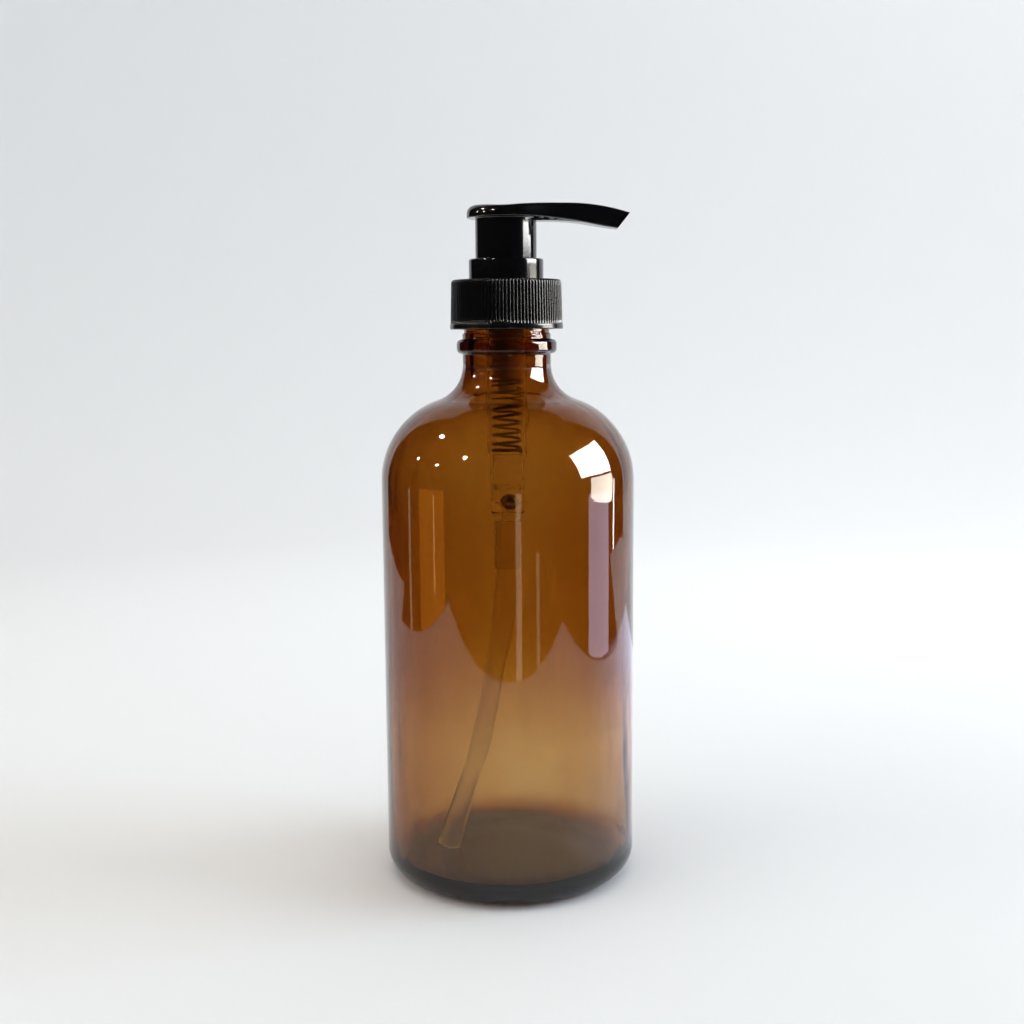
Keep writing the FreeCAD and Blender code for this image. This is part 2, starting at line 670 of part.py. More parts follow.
def build_actuator():
    """Pump head in one moulding: thumb pad, arched spout, skirt, and a boss on the stem."""
    body = new_body("actuator")
    side = new_sketch(body, "side_outline", "XZ_Plane")
    outline(side, [
        ("head_back", "head_under"),
        ("head_back", "pad_height", "pad_round"),
        ("dip_x", "dip_height", "dip_round"),
        ("rise_x", "crest_height", "rise_round"),
        ("crest_x", "crest_height", "crest_round"),
        ("tip_top_x", "tip_top_height"),
        ("tip_low_x", "tip_low_height"),
        ("belly_x", "belly_height", "belly_round"),
        ("hub_radius", "root_height"),
        (0, "root_height"),
        (0, "head_under"),
    ])
    head = body.newObject("PartDesign::Pad", "head")
    head.Profile = side
    head.Midplane = True
    head.Length = number("3 * pad_half_width")
    bind(head, Length="3 * pad_half_width")
    doc.recompute()
    plan = new_sketch(body, "plan_outline", "XY_Plane", "tip_low_height - 1")
    outline(plan, [
        ("head_back", "-pad_half_width", "pad_half_width - 0.1"),
        ("pad_side_x", "-pad_half_width", "pad_side_round"),
        ("spout_root_x", "-spout_root_half_width", "spout_root_round"),
        ("tip_top_x + 0.5", "-spout_tip_half_width"),
        ("tip_top_x + 0.5", "spout_tip_half_width"),
        ("spout_root_x", "spout_root_half_width", "spout_root_round"),
        ("pad_side_x", "pad_half_width", "pad_side_round"),
        ("head_back", "pad_half_width", "pad_half_width - 0.1"),
    ])
    outline(plan, [
        ("head_back - 5", "-2 * pad_half_width"),
        ("tip_top_x + 5", "-2 * pad_half_width"),
        ("tip_top_x + 5", "2 * pad_half_width"),
        ("head_back - 5", "2 * pad_half_width"),
    ])
    trim = body.newObject("PartDesign::Pocket", "plan_trim")
    trim.Profile = plan
    trim.Reversed = True
    trim.Length = number("crest_height - tip_low_height + 3")
    bind(trim, Length="crest_height - tip_low_height + 3")
    doc.recompute()
    lathe(body, "skirt", [
        ("hub_bore", "hub_bottom"),
        ("hub_radius", "hub_bottom", 0.25),
        ("hub_radius", "head_under + 0.5"),
        ("stem_bore", "head_under + 0.5"),
        ("stem_bore", "stem_top"),
        ("stem_radius", "stem_top"),
        ("stem_radius", "boss_bottom"),
        ("boss_radius", "boss_bottom"),
        ("boss_radius", "hub_ceiling"),
        ("hub_bore", "hub_ceiling"),
    ])
    bore = new_sketch(body, "bore_section", "XY_Plane", "root_height - 1")
    circle(bore, 0, 0, "stem_bore")
    well = body.newObject("PartDesign::Pocket", "well")
    well.Profile = bore
    well.Reversed = True
    well.Length = number("channel_root_height - root_height + 1")
    bind(well, Length="channel_root_height - root_height + 1")
    doc.recompute()
    path = outline(new_sketch(body, "channel_path", "XZ_Plane"), [
        (0, "channel_root_height"),
        ("channel_bend_x", "channel_bend_height", "channel_bend_round"),
        ("channel_end_x", "channel_end_height"),
    ], closed=False)
    section = new_sketch(body, "channel_section", "YZ_Plane")
    circle(section, 0, "channel_root_height", "channel_radius")
    channel = body.newObject("PartDesign::SubtractivePipe", "channel")
    channel.Profile = section
    channel.Spine = (path, [])
    doc.recompute()
    lug_section = new_sketch(body, "lug_section", "XZ_Plane")
    ridge_outline(lug_section, "hub_bore + 0.2", "hub_bore - lock_lug",
                  "hub_bottom + lock_lug_width / 2 + 0.1", "lock_lug_width", "lock_lug_width * 0.6")
    lug = helix(body, "lug", lug_section, "lock_pitch", "lock_pitch * lock_turns")
    around(body, "lugs", lug, "lock_lug_count")


for build in (
    build_bottle,
    build_closure,
    build_gasket,
    build_chaplet,
    build_housing,
    build_stem_guide,
    build_cage,
    build_ball,
    build_dip_tube,
    build_spring,
    build_valve_rod,
    build_piston,
    build_stem,
    build_actuator,
):
    build()
    doc.recompute()

for item in doc.Objects:
    broken = {"Invalid", "Error"} & set(item.State)
    if broken:
        raise RuntimeError(f"{item.Label} is {', '.join(sorted(broken))}")
for subpart in subparts:
    if subpart.Shape.isNull() or not subpart.Shape.isValid():
        raise RuntimeError(f"{subpart.Label} has no valid shape")

os.makedirs("parts", exist_ok=True)
for subpart in subparts:
    subpart.Shape.exportStep(f"parts/{subpart.Label}.step")
    print(f"{subpart.Label}: {len(subpart.Shape.Solids)} solid, {subpart.Shape.Volume:.1f} mm3")
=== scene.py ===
import math

import bmesh
import bpy
from mathutils import Euler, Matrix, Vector, noise


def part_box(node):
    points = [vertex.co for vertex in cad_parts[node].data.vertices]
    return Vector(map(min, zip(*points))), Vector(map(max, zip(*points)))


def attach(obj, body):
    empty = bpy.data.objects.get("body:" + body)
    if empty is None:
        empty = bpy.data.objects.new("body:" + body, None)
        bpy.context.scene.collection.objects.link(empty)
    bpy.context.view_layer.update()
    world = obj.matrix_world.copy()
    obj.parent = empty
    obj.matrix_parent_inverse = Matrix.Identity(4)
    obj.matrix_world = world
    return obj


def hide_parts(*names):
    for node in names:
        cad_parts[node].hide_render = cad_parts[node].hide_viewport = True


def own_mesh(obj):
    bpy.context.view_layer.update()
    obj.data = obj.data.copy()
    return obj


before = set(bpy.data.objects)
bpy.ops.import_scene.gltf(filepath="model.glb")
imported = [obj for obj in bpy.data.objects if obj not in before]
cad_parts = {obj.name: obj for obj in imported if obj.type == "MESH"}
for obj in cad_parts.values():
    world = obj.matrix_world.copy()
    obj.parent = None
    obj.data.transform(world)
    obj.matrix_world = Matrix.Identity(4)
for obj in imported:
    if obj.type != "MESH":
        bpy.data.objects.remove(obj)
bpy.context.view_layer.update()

# A soap pump on an amber glass bottle, built round the CAD frame. Its shapes are worked out in
# millimetres and written to the meshes in metres. The camera, the stage and the lights are in metres.
MM = 0.001
TURN = 2 * math.pi


def low(node, axis):
    """The lowest coordinate of a CAD node along an axis, in millimetres."""
    return getattr(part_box(node)[0], axis) / MM


def high(node, axis):
    """The highest coordinate of a CAD node along an axis, in millimetres."""
    return getattr(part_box(node)[1], axis) / MM


# ---------------------------------------------------------------- camera

SENSOR_WIDTH, FOCAL_LENGTH = 36.0, 47.28
CAMERA_PLACE = (0.0012, -0.3987, 0.1623)
CAMERA_DOWN, CAMERA_ROLL = 7.58, -0.42


def add_camera():
    """The photograph's view: a normal lens, above the object's middle, looking a little down."""
    data = bpy.data.cameras.new("camera")
    data.sensor_width = SENSOR_WIDTH
    data.lens = FOCAL_LENGTH
    data.clip_start = 0.01
    camera = bpy.data.objects.new("camera", data)
    camera.location = CAMERA_PLACE
    pitch, roll = math.radians(90 - CAMERA_DOWN), math.radians(CAMERA_ROLL)
    camera.rotation_mode = "QUATERNION"
    tilt = Euler((pitch, 0, 0)).to_quaternion()
    camera.rotation_quaternion = tilt @ Euler((0, 0, roll)).to_quaternion()
    bpy.context.scene.collection.objects.link(camera)
    bpy.context.scene.camera = camera


add_camera()

# ---------------------------------------------------------------- mesh building

# Edges that turn by more than this are shaded sharp, unless a piece sets its own angle.
SHARP = math.radians(40)
# Points nearer than the first are merged, and edges shorter than the second are dissolved, in metres.
SAME_SPOT, NO_LENGTH = 1e-7, 1e-8
# Small arcs get fewer steps, so that their chords stay about this long, but no fewer than this.
SHORTEST_CHORD, FEWEST_STEPS = 0.12, 5


def add_mesh(name, build, sharp=SHARP):
    """A mesh object from a filled bmesh, shaded smooth except at sharp edges."""
    bmesh.ops.remove_doubles(build, verts=build.verts, dist=SAME_SPOT)
    bmesh.ops.dissolve_degenerate(build, edges=build.edges, dist=NO_LENGTH)
    bmesh.ops.recalc_face_normals(build, faces=build.faces)
    mesh = bpy.data.meshes.new(name)
    build.to_mesh(mesh)
    build.free()
    mesh.shade_smooth()
    mesh.set_sharp_from_angle(angle=sharp)
    piece = bpy.data.objects.new(name, mesh)
    bpy.context.scene.collection.objects.link(piece)
    return piece


def rounded(corners, spacing=math.inf, step=math.radians(6)):
    """
    Points along a line through corners given as (x, y) or (x, y, rounding). A rounded corner
    becomes an arc with a point each step of its turn, or fewer where the arc is small, and long
    runs are split at the spacing.
    """
    spots = [Vector(corner[:2]) for corner in corners]
    kept = []
    for index, corner in enumerate(corners):
        spot = spots[index]
        if len(corner) == 2:
            kept.append(spot)
            continue
        towards = (spots[index - 1] - spot).normalized()
        away = (spots[(index + 1) % len(spots)] - spot).normalized()
        half = towards.angle(away) / 2
        centre = spot + (towards + away).normalized() * (corner[2] / math.sin(half))
        start = spot + towards * (corner[2] / math.tan(half)) - centre
        sweep = math.pi - 2 * half
        if towards.x * away.y - towards.y * away.x > 0:
            sweep = -sweep
        parts = max(2, math.ceil(abs(sweep) / step))
        parts = min(parts, max(FEWEST_STEPS, math.ceil(corner[2] * abs(sweep) / SHORTEST_CHORD)))
        for part in range(parts + 1):
            angle = sweep * part / parts
            turned = Vector((
                start.x * math.cos(angle) - start.y * math.sin(angle),
                start.x * math.sin(angle) + start.y * math.cos(angle),
            ))
            kept.append(centre + turned)
    points = []
    for here, there in zip(kept, kept[1:]):
        parts = max(1, math.ceil((there - here).length / spacing))
        points += [here.lerp(there, part / parts) for part in range(parts)]
    return points + [kept[-1]]


def stitch(build, first, second):
    """Faces between two rings of as many points, either of which may be a single point."""
    count = max(len(first), len(second))
    for index in range(count):
        following = (index + 1) % count
        face = [first[index % len(first)], first[following % len(first)],
                second[following % len(second)], second[index % len(second)]]
        face = [vert for place, vert in enumerate(face) if vert not in face[:place]]
        if len(face) > 2:
            build.faces.new(face)


def lathe(name, stretches, segments, sharp=SHARP):
    """
    A solid turned about Z. Each stretch is a list of (radius, height) points and a function of
    (angle, radius, height) for how far a point stands out from that, or None. Its first and last
    points lie on the axis, or else the outline closes on itself.
    """
    build = bmesh.new()
    rings = []
    for points, offset in stretches:
        for radius, height in points:
            if radius < 1e-6:
                rings.append([build.verts.new((0, 0, height * MM))])
                continue
            ring = []
            for index in range(segments):
                angle = TURN * index / segments
                reach = (radius + (offset(angle, radius, height) if offset else 0)) * MM
                spot = (reach * math.cos(angle), reach * math.sin(angle), height * MM)
                ring.append(build.verts.new(spot))
            rings.append(ring)
    for first, second in zip(rings, rings[1:]):
        stitch(build, first, second)
    if len(rings[0]) > 1:
        stitch(build, rings[-1], rings[0])
    return add_mesh(name, build, sharp)


def sweep(name, centres, frames, sections):
    """
    A solid swept along centres. frames gives two directions across the path at each centre, and
    sections one or two lists of (across, up) points: the outer outline, and the bore's.
    """
    build = bmesh.new()
    walls = []
    for section in sections:
        rings = []
        for centre, (across, up) in zip(centres, frames):
            rings.append([build.verts.new((centre + across * x + up * y) * MM) for x, y in section])
        for first, second in zip(rings, rings[1:]):
            stitch(build, first, second)
        walls.append(rings)
    for end in (0, -1):
        if len(walls) == 2:
            stitch(build, walls[0][end], walls[1][end])
        else:
            build.faces.new(walls[0][end])
    return add_mesh(name, build)


def circle_points(radius, count):
    return [
        (radius * math.cos(TURN * index / count), radius * math.sin(TURN * index / count))
        for index in range(count)
    ]


def smooth(value):
    """Eases 0 to 1, and holds either side."""
    value = min(1, max(0, value))
    return value * value * (3 - 2 * value)


# ---------------------------------------------------------------- materials

# Noise values mostly lie between these.
NOISE_LOW, NOISE_HIGH = 0.3, 0.7
GLASS_COLOUR = (0.75, 0.53, 0.04, 1)
GLASS_DENSITY = 1080.0


def new_material(name):
    material = bpy.data.materials.new(name)
    material.use_nodes = True
    return material, material.node_tree, material.node_tree.nodes["Principled BSDF"]


def add_noise(tree, scale, detail=4.0, stretch=(1, 1, 1)):
    """A noise texture in the object's own space, with its scale in features per metre."""
    place = tree.nodes.new("ShaderNodeTexCoord")
    mapping = tree.nodes.new("ShaderNodeMapping")
    mapping.inputs["Scale"].default_value = stretch
    texture = tree.nodes.new("ShaderNodeTexNoise")
    texture.inputs["Scale"].default_value = scale
    texture.inputs["Detail"].default_value = detail
    tree.links.new(place.outputs["Object"], mapping.inputs["Vector"])
    tree.links.new(mapping.outputs["Vector"], texture.inputs["Vector"])
    return texture.outputs["Fac"]


def add_range(tree, value, lowest, highest):
    """Spreads a noise value over a range."""
    spread = tree.nodes.new("ShaderNodeMapRange")
    spread.inputs["From Min"].default_value = NOISE_LOW
    spread.inputs["From Max"].default_value = NOISE_HIGH
    spread.inputs["To Min"].default_value = lowest
    spread.inputs["To Max"].default_value = highest
    tree.links.new(value, spread.inputs["Value"])
    return spread.outputs["Result"]


def add_bump(tree, shader, value, depth, strength=1.0):
    """A bump that is depth metres deep."""
    bump = tree.nodes.new("ShaderNodeBump")
    bump.inputs["Distance"].default_value = depth
    bump.inputs["Strength"].default_value = strength
    tree.links.new(value, bump.inputs["Height"])
    tree.links.new(bump.outputs["Normal"], shader.inputs["Normal"])


def plastic(name, colour, roughness, spread, grain_depth, grain_scale=900.0):
    """Moulded plastic: slight changes in gloss, and a fine skin."""
    material, tree, shader = new_material(name)
    shader.inputs["Base Color"].default_value = (*colour, 1)
    shader.inputs["IOR"].default_value = 1.5
    gloss = add_range(tree, add_noise(tree, 60.0), roughness - spread, roughness + spread)
    tree.links.new(gloss, shader.inputs["Roughness"])
    add_bump(tree, shader, add_noise(tree, grain_scale, 2.0), grain_depth)
    return material


def natural_plastic(name, colour, roughness, clear):
    """
    Natural polypropylene or polyethylene: light passes through it, and it is a little milky. The
    index is below the real plastic's, so that its walls turn back less light.
    """
    material, tree, shader = new_material(name)
    shader.inputs["Base Color"].default_value = (*colour, 1)
    shader.inputs["IOR"].default_value = 1.18
    shader.inputs["Transmission Weight"].default_value = clear
    gloss = add_range(tree, add_noise(tree, 80.0), roughness - 0.05, roughness + 0.05)
    tree.links.new(gloss, shader.inputs["Roughness"])
    add_bump(tree, shader, add_noise(tree, 300.0, 2.0, (1, 1, 0.1)), 0.00002)
    return material


def amber_glass():
    """Amber bottle glass, coloured by how far light travels in it, with long waves and a fine skin."""
    material, tree, shader = new_material("amber_glass")
    shader.inputs["Base Color"].default_value = (1, 1, 1, 1)
    shader.inputs["IOR"].default_value = 1.52
    shader.inputs["Transmission Weight"].default_value = 1.0
    gloss = add_range(tree, add_noise(tree, 40.0), 0.0, 0.012)
    tree.links.new(gloss, shader.inputs["Roughness"])
    waves = add_noise(tree, 120.0, 2.0, (1, 1, 0.25))
    skin = add_noise(tree, 900.0, 2.0, (0.1, 0.1, 1))
    blend = tree.nodes.new("ShaderNodeMath")
    blend.operation = "MULTIPLY_ADD"
    blend.inputs[1].default_value = 0.07
    tree.links.new(skin, blend.inputs[0])
    tree.links.new(waves, blend.inputs[2])
    add_bump(tree, shader, blend.outputs["Value"], 0.00003)
    absorption = tree.nodes.new("ShaderNodeVolumeAbsorption")
    absorption.inputs["Color"].default_value = GLASS_COLOUR
    absorption.inputs["Density"].default_value = GLASS_DENSITY
    output = tree.nodes["Material Output"]
    tree.links.new(absorption.outputs["Volume"], output.inputs["Volume"])
    return material


def metal(name, colour, roughness, streaks):
    """Bare steel with fine drawing marks."""
    material, tree, shader = new_material(name)
    shader.inputs["Base Color"].default_value = (*colour, 1)
    shader.inputs["Metallic"].default_value = 1.0
    gloss = add_range(tree, add_noise(tree, streaks), roughness - 0.06, roughness + 0.06)
    tree.links.new(gloss, shader.inputs["Roughness"])
    return material


GLASS = amber_glass()
CLOSURE_BLACK = plastic("closure_black", (0.003, 0.003, 0.0035), 0.2, 0.03, 0.000003)
COLLAR_BLACK = plastic("collar_black", (0.0025, 0.0025, 0.003), 0.13, 0.03, 0.000004)
HEAD_BLACK = plastic("head_black", (0.0025, 0.0025, 0.003), 0.12, 0.03, 0.000004)
HOUSING_PLASTIC = natural_plastic("housing_plastic", (1.0, 0.99, 0.96), 0.12, 0.98)
TUBE_PLASTIC = natural_plastic("tube_plastic", (1.0, 0.99, 0.96), 0.35, 0.94)
WHITE_PLASTIC = plastic("white_plastic", (0.72, 0.71, 0.68), 0.4, 0.08, 0.00001)
GASKET_FOAM = plastic("gasket_foam", (0.74, 0.74, 0.70), 0.8, 0.08, 0.00004, 1500.0)
SPRING_STEEL = metal("spring_steel", (0.2, 0.2, 0.2), 0.32, 600.0)
BALL_STEEL = metal("ball_steel", (0.3, 0.3, 0.31), 0.16, 200.0)


def finish_piece(piece, material, body, slot, *nodes):
    """Gives a piece its material and its CAD body, and hides the nodes it stands for. The slot is not
    used.
    """
    piece.data.materials.clear()
    piece.data.materials.append(material)
    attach(piece, body)
    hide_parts(*nodes)


# ---------------------------------------------------------------- bottle

NECK_TOP = high("bottle", "z")
BODY_RADIUS = high("bottle", "x")
GLASS_WALL = 2.2
# The foot stays a hair above the table, so that the two surfaces never coincide.
FOOT, FOOT_INNER_RADIUS = 0.03, 28.6
RECESS_MIDDLE, RECESS_EDGE = 0.5, 0.45
FLOOR_HEIGHT = 5.6
# Where the straight wall and the neck would meet the shoulder's slope.
SHOULDER_CORNER, NECK_CORNER = 137.06, 145.49
NECK_RADIUS, NECK_BORE = 13.0, 10.4
BEAD_BOTTOM, BEAD_TOP, BEAD_RADIUS = 156.3, 160.6, 14.73
FINISH_BOTTOM, FINISH_RADIUS = 162.2, 12.55
RIM_ROUND = 0.8

# The ridges of the glass and of the closure: height where each starts, width at its root and at its
# crest, and how far it stands out.
THREAD_PITCH = 4.233
THREAD_TURNS = 1.25
CAP_BORE = 14.1
GLASS_THREAD = (165.6, 2.4, 1.0, 13.7 - FINISH_RADIUS)
CAP_THREAD = (165.4, 2.0, 0.9, CAP_BORE - 13.05)
# How far the closure's ridge lies below the glass's.
CAP_THREAD_DROP = 1.47


def ridge(angle, height, start, foot, tip, reach):
    """How far a thread's ridge stands out at an angle and a height. Its ends fade in and out."""
    best = 0
    for lap in range(2):
        travelled = angle / TURN + lap
        if travelled > THREAD_TURNS:
            continue
        away = abs(height - start - THREAD_PITCH * travelled)
        flank = smooth((foot / 2 - away) / (foot / 2 - tip / 2))
        ends = smooth(travelled / 0.08) * smooth((THREAD_TURNS - travelled) / 0.08)
        best = max(best, reach * flank * ends)
    return best


def ripple(angle, radius, height, depth, size):
    """The slight unevenness of blown glass, longer along the height than round it."""
    across = radius * math.cos(angle) / size, radius * math.sin(angle) / size
    return depth * noise.noise(Vector((*across, height / (4 * size))))


def build_bottle():
    wall = BODY_RADIUS - GLASS_WALL
    slope = (NECK_CORNER - SHOULDER_CORNER) / (BODY_RADIUS - NECK_RADIUS)
    inward = GLASS_WALL * math.hypot(1, slope)
    body = [
        (0, RECESS_MIDDLE),
        (20.0, RECESS_EDGE, 60),
        (FOOT_INNER_RADIUS, FOOT, 8),
        (BODY_RADIUS, FOOT, 7.5),
        (BODY_RADIUS, SHOULDER_CORNER, 25.2),
        (NECK_RADIUS, NECK_CORNER, 10.9),
        (NECK_RADIUS, 152.0),
    ]
    neck = [
        (NECK_RADIUS, 152.8),
        (NECK_RADIUS, BEAD_BOTTOM, 0.3),
        (BEAD_RADIUS, BEAD_BOTTOM, 1.4),
        (BEAD_RADIUS, BEAD_TOP, 1.4),
        (NECK_RADIUS, BEAD_TOP, 0.3),
        (NECK_RADIUS, FINISH_BOTTOM, 0.2),
        (FINISH_RADIUS, FINISH_BOTTOM, 0.2),
        (FINISH_RADIUS, NECK_TOP, RIM_ROUND),
        (NECK_BORE, NECK_TOP, RIM_ROUND),
        (NECK_BORE, NECK_TOP - 2.0),
    ]
    inner = [
        (NECK_BORE, NECK_TOP - 2.5),
        (NECK_BORE, NECK_CORNER + slope * (NECK_RADIUS - NECK_BORE) - inward, 12.9),
        (wall, SHOULDER_CORNER + slope * GLASS_WALL - inward, 23.0),
        (wall, FLOOR_HEIGHT, 3.0),
        (0, FLOOR_HEIGHT),
    ]

    def outside(angle, radius, height):
        """The thread on the finish, and a slight ripple on the body that never stands out."""
        if FINISH_BOTTOM + 0.5 < height < NECK_TOP - 0.9:
            return ridge(angle, height, *GLASS_THREAD)
        if height < 8 or height > 146:
            return 0
        return ripple(angle, radius, height, 0.03, 14) - 0.03

    def inside(angle, radius, height):
        """The wall is thinner low down but less so on the left, thicker higher up and in the neck."""
        if height > NECK_TOP - 3:
            return 0
        upper = smooth((height - 41) / 28)
        shoulder = smooth((height - 100) / 25)
        left = max(0, -math.cos(angle))
        taper = smooth((height - 6) / 5) * smooth((155 - height) / 20)
        thicker = 0.5 * smooth((height - 146) / 6) * smooth((165.5 - height) / 2)
        thinner = 0.8 - 1.3 * upper + 0.3 * shoulder - 0.6 * left * (1 - upper)
        return (thinner + ripple(angle, radius + 50, height, 0.16, 11)) * taper - thicker

    fine = math.radians(4)
    stretches = [
        (rounded(body, 2.0, fine), outside),
        (rounded(neck, 0.8, fine), outside),
        (rounded(inner, 2.0, fine), inside),
    ]
    piece = lathe("bottle_glass", stretches, segments=256, sharp=math.radians(60))
    finish_piece(piece, GLASS, "glass_bottle", "bottle_glass", "bottle")


build_bottle()

# ---------------------------------------------------------------- closure and collar

CAP_BOTTOM, CAP_TOP = low("closure", "z"), high("closure", "z")
CAP_CEILING, CAP_HOLE = CAP_TOP - 1.3, 11.1
BAND_TOP, BAND_RADIUS = CAP_BOTTOM + 1.6, 16.62
RIBS = 100
RIB_DEPTH = 0.5
RIB_RADIUS_LOW, RIB_RADIUS_HIGH = 16.4, 16.1
# The grooves fade out over the top's edge and end at this radius.
GROOVE_END = 14.8


def build_closure():
    outer = [
        (CAP_BORE, CAP_BOTTOM + 0.2, 0.1),
        (CAP_BORE + 0.2, CAP_BOTTOM, 0.1),
        (BAND_RADIUS, CAP_BOTTOM, 0.35),
        (BAND_RADIUS, BAND_TOP, 0.25),
        (RIB_RADIUS_LOW, BAND_TOP, 0.1),
        (RIB_RADIUS_HIGH, CAP_TOP, 0.9),
        (CAP_HOLE, CAP_TOP, 0.2),
        (CAP_HOLE, CAP_CEILING, 0.2),
    ]
    inner = [(12, CAP_CEILING), (CAP_BORE, CAP_CEILING, 0.3), (CAP_BORE, CAP_BOTTOM + 0.4)]

    def ribs(angle, radius, height):
        """Grooves with rounded ribs between them, which run out over the top's edge."""
        if radius < GROOVE_END or height < BAND_TOP + 0.05:
            return 0
        phase = (angle / TURN * RIBS) % 1
        groove = smooth((0.30 - abs(phase - 0.5)) / 0.2)
        start = smooth((height - BAND_TOP) / 0.5)
        end = smooth((radius - GROOVE_END) / 0.8)
        return -RIB_DEPTH * groove * start * end

    def thread(angle, radius, height):
        """The ridge that runs under the glass's, turned so that the two don't meet."""
        lead = CAP_THREAD[0] - GLASS_THREAD[0] + CAP_THREAD_DROP
        turned = (angle - TURN * lead / THREAD_PITCH) % TURN
        return -ridge(turned, height, *CAP_THREAD)

    stretches = [(rounded(outer, 1.0), ribs), (rounded(inner, 0.4), thread)]
    piece = lathe("closure_cap", stretches, segments=RIBS * 8, sharp=math.radians(85))
    finish_piece(piece, CLOSURE_BLACK, "screw_closure", "closure_black", "closure")


def build_chaplet():
    seat, top = low("chaplet", "z"), high("chaplet", "z")
    flange, recess = 13.0, 12.3
    flange_top, recess_top = seat + 2.2, seat + 1.2
    chimney, bore = 10.9, 9.25
    outline = [
        (recess, seat, 0.1),
        (flange, seat, 0.2),
        (flange, flange_top, 0.2),
        (chimney, flange_top, 0.15),
        (chimney, top, 0.55),
        (bore, top, 0.25),
        (bore, recess_top, 0.1),
        (recess, recess_top, 0.1),
    ]
    points = rounded([(recess, seat + 0.6), *outline, (recess, seat + 0.7)], 1.5)
    piece = lathe("chaplet_collar", [(points, None)], segments=192)
    finish_piece(piece, COLLAR_BLACK, "pump_body", "collar_black", "chaplet")


build_closure()
build_chaplet()

# ---------------------------------------------------------------- pump head

HEAD_BACK, SPOUT_TIP = low("actuator", "x"), high("actuator", "x")
HEAD_TOP = high("actuator", "z")
PAD_HALF_WIDTH = high("actuator", "y")
# The spout's end leans: its lower edge lies behind its tip, and below it.
TIP_TOP, LIP_X, LIP_HEIGHT = 196.73, 32.35, 192.1
TIP_LEAN = (SPOUT_TIP - LIP_X) / (TIP_TOP - LIP_HEIGHT)
# About how deep the spout is at its end.
TIP_DEPTH = 4.6


def along(corners, step=math.radians(1)):
    """A height or width as a function of x, from a rounded line of corners."""
    points = rounded(corners, 0.5, step)

    def value(x):
        x = min(max(x, points[0].x), points[-1].x)
        for here, there in zip(points, points[1:]):
            if here.x <= x <= there.x and there.x > here.x:
                return here.y + (there.y - here.y) * (x - here.x) / (there.x - here.x)
        return points[-1].y

    return value


head_roof = along([
    (HEAD_BACK, HEAD_TOP - 0.2),
    (-0.8, HEAD_TOP - 1.0, 40),
    (10.97, HEAD_TOP, 120),
    (26.5, HEAD_TOP, 60),
    (SPOUT_TIP, TIP_TOP),
])
head_floor = along([(HEAD_BACK, 195.3), (9.5, 195.3, 20), (17.5, 194.65, 60), (LIP_X, LIP_HEIGHT)])
keel_floor = along([(HEAD_BACK, 194.3), (17.5, 194.55, 80), (LIP_X, LIP_HEIGHT)])
side_width = along([
    (0, PAD_HALF_WIDTH),
    (4.0, PAD_HALF_WIDTH, 9),
    (14.0, 6.2, 22),
    (24.0, 4.9, 60),
    (SPOUT_TIP, 3.2),
])


def head_half_width(x):
    """Half the head's width: an oval behind the stem's axis, and tapering to the spout's end."""
    if x < 0:
        return PAD_HALF_WIDTH * math.sqrt(max(0, 1 - (x / HEAD_BACK) ** 2))
    return side_width(x)


def edge_drop(inset, radius):
    """How far an edge rounded to a radius lies below the face, a distance in from the side."""
    if inset >= radius:
        return 0
    return radius - math.sqrt(max(0, radius * radius - (radius - inset) ** 2))


def inset_from_side(x, y):
    """About how far a point of the head's plan lies inside its outline."""
    if x < 0:
        ring = math.hypot(x / HEAD_BACK, y / PAD_HALF_WIDTH)
        mean_radius = -HEAD_BACK * 0.93
        return (1 - ring) * mean_radius
    return head_half_width(x) - abs(y)


def build_head():
    """Thumb pad and arched spout in one skin: a roof, a floor with a keel, and upright sides."""
    build = bmesh.new()
    across, behind, ahead = 17, 26, 60
    keel_half_width, keel_start = 3.9, 5
    floor_edge = 0.35
    stations = [HEAD_BACK * math.cos(math.pi / 2 * index / behind) for index in range(behind)]
    stations += [SPOUT_TIP * index / ahead for index in range(ahead + 1)]
    loops = []
    for x_top in stations:
        lean = TIP_LEAN * smooth((x_top - 20) / (SPOUT_TIP - 20))
        half = head_half_width(x_top)
        roof, floor = head_roof(x_top), head_floor(x_top - lean * TIP_DEPTH)
        keel = keel_floor(x_top - lean * TIP_DEPTH)
        roof_edge = 1.5 + 1.1 * smooth(-x_top / 8)

        def spot(y, z):
            return build.verts.new((Vector((x_top - lean * (roof - z), y, z))) * MM)

        top, bottom = [], []
        for index in range(-across, across + 1):
            y = half * math.sin(math.pi / 2 * index / across)
            inset = inset_from_side(x_top, y)
            crown = 0.25 * (y / max(half, 0.1)) ** 2
            top.append(spot(y, roof - crown - edge_drop(inset, roof_edge)))
            keel_share = smooth((keel_half_width - abs(y)) / 0.7) * smooth((x_top - keel_start) / 3)
            lower = floor + (keel - floor) * keel_share if keel < floor else floor
            bottom.append(spot(y, lower + edge_drop(inset, floor_edge)))
        loops.append(top + bottom[::-1])
    for first, second in zip(loops, loops[1:]):
        stitch(build, first, second)
    return build, loops[-1]


def build_outlet(build, rim):
    """The spout's open end: a wall round the cut, and the bore that rises behind it."""
    middle = sum((vert.co for vert in rim), Vector()) / len(rim)
    rings = [rim]
    bore_rise = 0.24
    for share, depth in ((0.80, 0.0), (0.74, 0.15), (0.70, 4.0), (0.62, 9.0)):
        back = Vector((-depth, 0, depth * bore_rise)) * MM
        rings.append([build.verts.new(middle + (vert.co - middle) * share + back) for vert in rim])
    for first, second in zip(rings, rings[1:]):
        stitch(build, first, second)
    build.faces.new(rings[-1])


